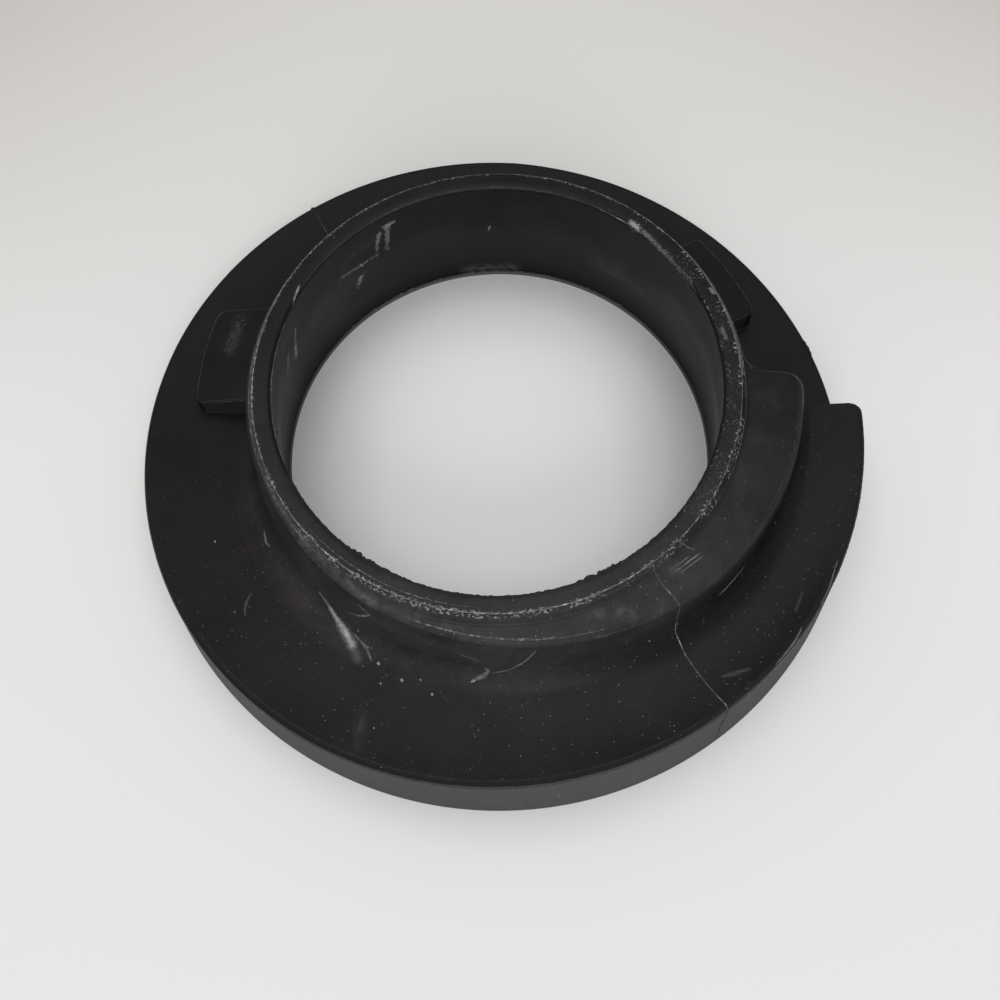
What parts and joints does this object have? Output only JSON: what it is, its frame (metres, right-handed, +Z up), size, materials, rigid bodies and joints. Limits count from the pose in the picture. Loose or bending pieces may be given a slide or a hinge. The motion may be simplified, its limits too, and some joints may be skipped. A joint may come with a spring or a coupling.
{
  "type": "coil spring insulator",
  "caption": "Moulded rubber coil spring insulator: a tapered neck ring on a flange whose spiral ramp seats the spring's end coil and ends in a step, with a curved guide shoulder and lugs.",
  "frame": {"origin": "centre of the bore on the flat underside, which is also the bottom centre of the whole moulding", "axes": "+Z up along the bore axis from the underside to the rim; +X towards the step at the spring ramp's end; the ramp climbs counter-clockwise seen from above"},
  "size_m": [0.1659, 0.166, 0.0396],
  "materials": {
    "black_rubber": "matte moulded black rubber with a faint grey bloom, scuffs and mould flash"
  },
  "bodies": {
    "root": {"insulator": "black_rubber"}
  },
  "joints": []
}
